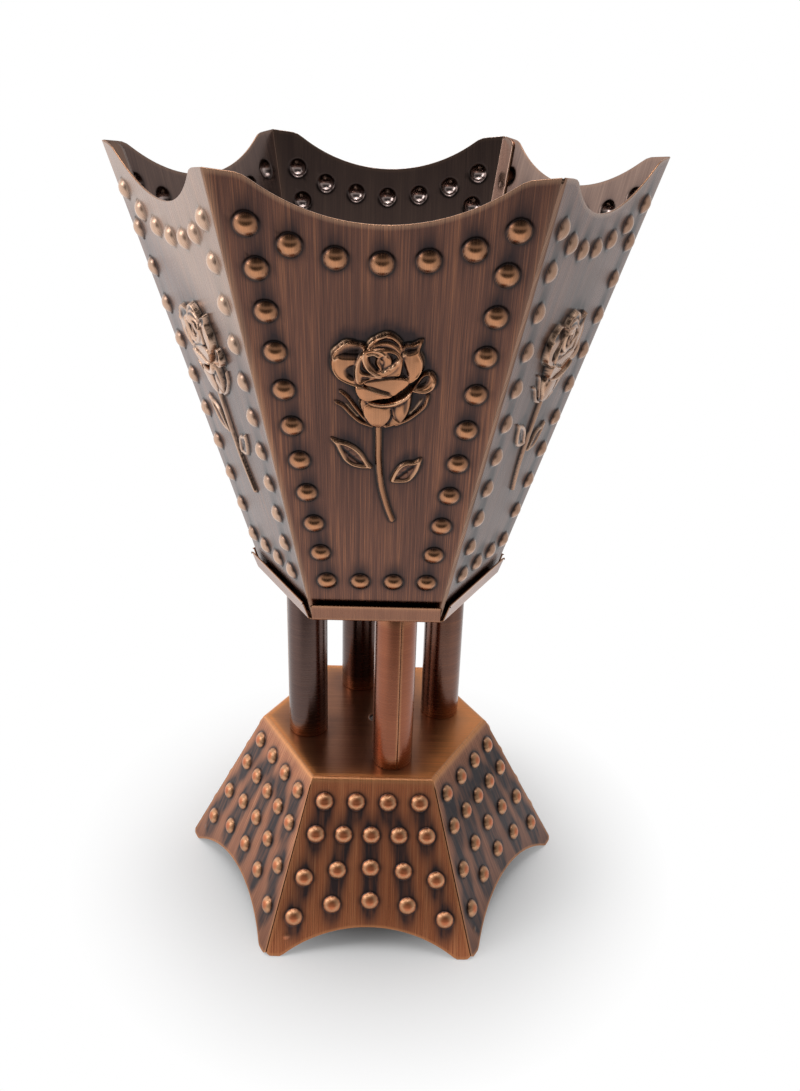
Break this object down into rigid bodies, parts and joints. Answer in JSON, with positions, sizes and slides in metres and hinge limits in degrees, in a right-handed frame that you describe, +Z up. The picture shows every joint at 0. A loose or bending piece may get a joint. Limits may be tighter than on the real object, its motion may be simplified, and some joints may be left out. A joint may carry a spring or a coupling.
{
  "type": "mabkhara incense burner",
  "caption": "Six-sided flared mabkhara bowl of embossed antique copper sheet with a scalloped rim, on tube pillars and a skirted base, with a lift-out charcoal dish.",
  "frame": {"origin": "on the floor, at the centre of the six-sided base", "axes": "+Z up through the bowl; the front side, with the front pillar nearest, faces -Y; two folded corners lie along X"},
  "size_m": [0.2124, 0.1844, 0.33],
  "materials": {
    "base_copper": "brushed antique copper plate, bright, with smoke-dark shading round the bosses, lacquered",
    "bowl_copper": "brushed antique copper plate, brown, darkened round the relief and lacquered",
    "tray_copper": "brushed antique copper plate",
    "pillar_copper": "brushed antique copper plate, rings of fine turning marks",
    "steel_fasteners": "zinc plated",
    "dish_steel": "plain pressed sheet, heat tinted"
  },
  "bodies": {
    "burner": {"base_shell": "base_copper", "bowl_tray": "tray_copper", "bowl_sheet_front": "bowl_copper", "bowl_sheet_right": "bowl_copper", "bowl_sheet_back": "bowl_copper", "pillar_front": "pillar_copper", "pillar_right": "pillar_copper", "pillar_back": "pillar_copper", "pillar_left": "pillar_copper", "tie_bolts": "steel_fasteners", "tie_nuts": "steel_fasteners", "tray_washers": "steel_fasteners", "base_washers": "steel_fasteners"},
    "charcoal_dish": {"charcoal_dish": "dish_steel"}
  },
  "joints": [
    {"name": "dish_lift", "type": "slide", "parent": "burner", "child": "charcoal_dish", "axis": [0, 0, 1], "range_m": [0, 0.17]}
  ]
}
